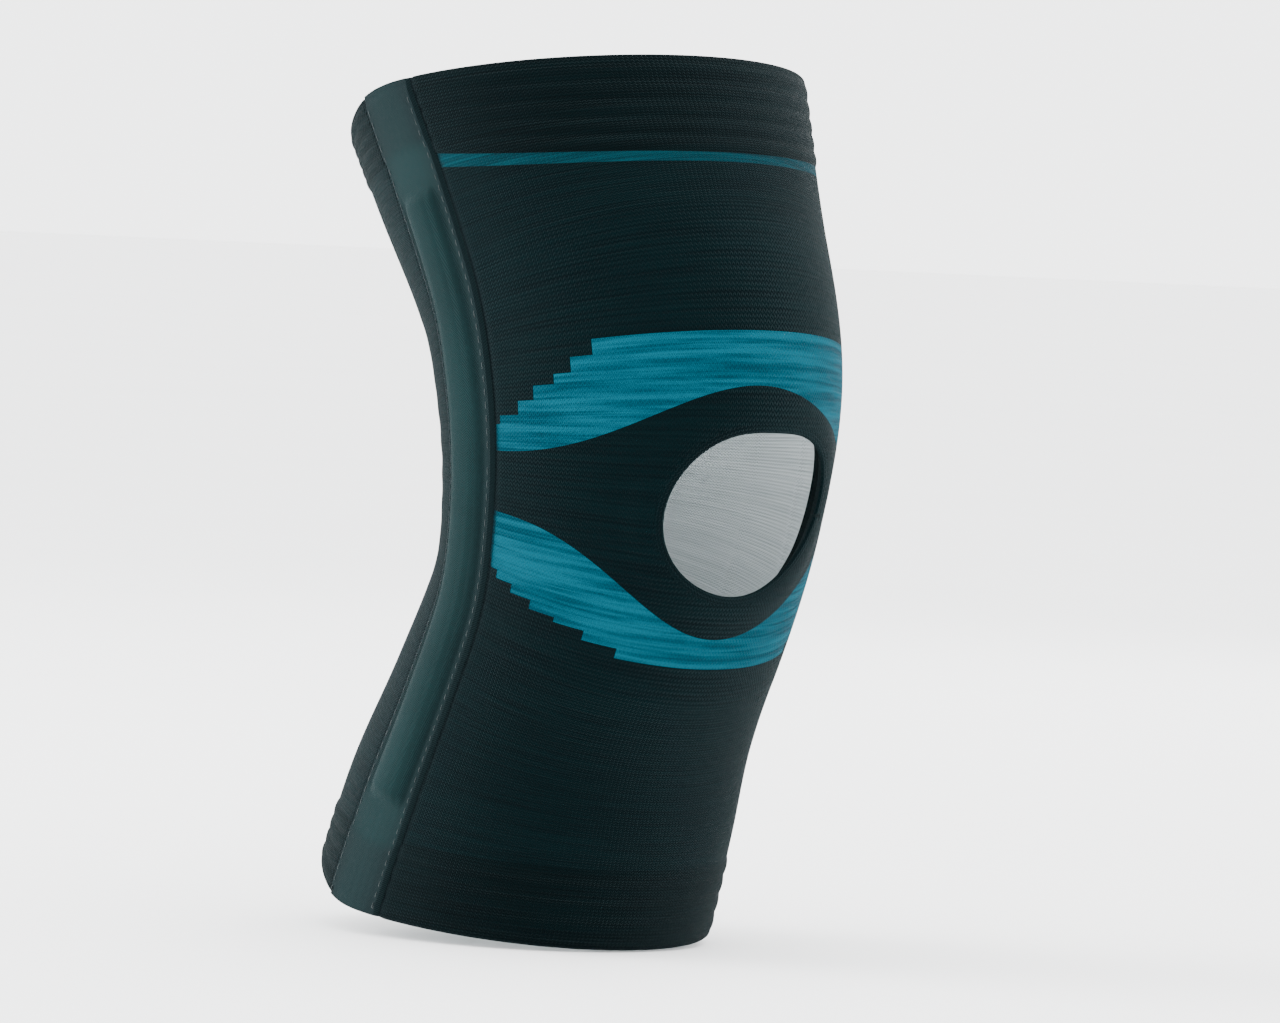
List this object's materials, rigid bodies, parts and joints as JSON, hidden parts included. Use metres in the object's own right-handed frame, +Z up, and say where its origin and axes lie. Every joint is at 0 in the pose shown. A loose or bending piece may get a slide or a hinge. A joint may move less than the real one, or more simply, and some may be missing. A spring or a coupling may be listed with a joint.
{
  "type": "knee support sleeve",
  "caption": "Knitted elastic knee support with an open patella, turquoise support bands, ribbed cuffs and a spiral stay in a raised tape channel on each side.",
  "frame": {"origin": "centre of the knee, 15 mm above the middle of the patella opening and behind it", "axes": "+Z up along the knee, -Y to the front where the patella opening is, -X to the lateral side; thigh and calf both lean back by 24 degrees at rest"},
  "size_m": [0.149, 0.1686, 0.2834],
  "materials": {
    "knit": "dark petrol elastic knit, matt",
    "cuff_knit": "darker ribbed elastic knit, matt",
    "tape": "woven grey-teal tape, matt",
    "band_knit": "turquoise yarn knitted into the outer face, matt",
    "stripe_knit": "dark turquoise yarn stripe, matt",
    "thread": "grey-teal sewing thread",
    "stay_steel": "flat-coiled spring steel wire",
    "cap_plastic": "moulded end cap",
    "silicone": "translucent grey silicone",
    "label": "plain satin label with nothing printed on it"
  },
  "bodies": {
    "thigh": {"thigh_front_panel": "knit", "thigh_back_panel": "knit", "thigh_cuff": "cuff_knit", "thigh_stripe": "stripe_knit", "thigh_grip_band": "silicone", "lateral_tape_thigh": "tape", "medial_tape_thigh": "tape", "lateral_stay_thigh": "stay_steel", "medial_stay_thigh": "stay_steel", "lateral_stay_top_cap": "cap_plastic", "medial_stay_top_cap": "cap_plastic", "thigh_stitching": "thread"},
    "knee": {"knee_front_panel": "knit", "upper_support_band": "band_knit", "lower_support_band": "band_knit", "knee_back_panel": "knit", "popliteal_upper_panel": "knit", "popliteal_lower_panel": "knit", "patella_hem": "knit", "patella_ring": "silicone", "patella_ring_cover": "cuff_knit", "lateral_tape_knee": "tape", "medial_tape_knee": "tape", "lateral_stay_knee": "stay_steel", "medial_stay_knee": "stay_steel", "knee_stitching": "thread"},
    "calf": {"calf_front_panel": "knit", "calf_back_panel": "knit", "calf_cuff": "cuff_knit", "calf_grip_band": "silicone", "lateral_tape_calf": "tape", "medial_tape_calf": "tape", "lateral_stay_calf": "stay_steel", "medial_stay_calf": "stay_steel", "lateral_stay_bottom_cap": "cap_plastic", "medial_stay_bottom_cap": "cap_plastic", "calf_stitching": "thread", "care_label": "label"}
  },
  "joints": [
    {"name": "upper_knee_flexion", "type": "hinge", "parent": "thigh", "child": "knee", "pos_m": [0, 0, 0.028], "axis": [1, 0, 0], "range_deg": [-24, 36], "stiffness_Nm_per_rad": 0.5, "deforming": ["knee_front_panel", "upper_support_band", "lower_support_band", "knee_back_panel", "popliteal_upper_panel", "popliteal_lower_panel"]},
    {"name": "lower_knee_flexion", "type": "hinge", "parent": "knee", "child": "calf", "pos_m": [0, 0, -0.028], "axis": [1, 0, 0], "range_deg": [-24, 36], "stiffness_Nm_per_rad": 0.5, "deforming": ["knee_front_panel", "upper_support_band", "lower_support_band", "knee_back_panel", "popliteal_upper_panel", "popliteal_lower_panel"]}
  ],
  "couplings": [
    {"joint": "lower_knee_flexion", "follows": "upper_knee_flexion", "ratio": 1}
  ]
}
